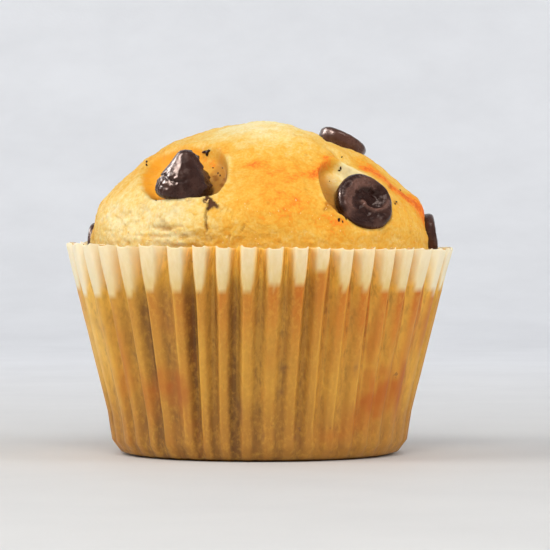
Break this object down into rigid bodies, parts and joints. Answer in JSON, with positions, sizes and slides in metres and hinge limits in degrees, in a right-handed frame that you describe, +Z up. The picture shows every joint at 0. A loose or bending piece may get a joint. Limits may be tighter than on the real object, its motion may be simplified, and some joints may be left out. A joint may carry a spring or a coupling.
{
  "type": "chocolate-chip muffin",
  "caption": "Round muffin with a domed golden top and chocolate chips sunk into it, still in the pleated paper baking cup that it was baked in. It stands on its flat base.",
  "frame": {"origin": "centre of the flat base of the paper cup, on the surface that the muffin stands on", "axes": "+Z up, -Y towards the front, +X to the right of someone who faces the front"},
  "size_m": [0.0726, 0.0725, 0.0622],
  "materials": {
    "paper": "thin pleated greaseproof paper, cream at the edge and golden where the cake shows through",
    "cake": "soft baked crumb with a golden crust, toasted orange at the top and pale at the left",
    "chocolate": "dark chocolate with a soft sheen"
  },
  "bodies": {
    "root": {"paper_cup": "paper", "cake": "cake", "chip_front_left": "chocolate", "chip_front_right": "chocolate", "chip_top_right": "chocolate", "chip_right_side": "chocolate", "chip_left_side": "chocolate", "chip_back_right": "chocolate", "chip_back_left": "chocolate", "chip_back_low": "chocolate", "chip_top_back": "chocolate"}
  },
  "joints": []
}
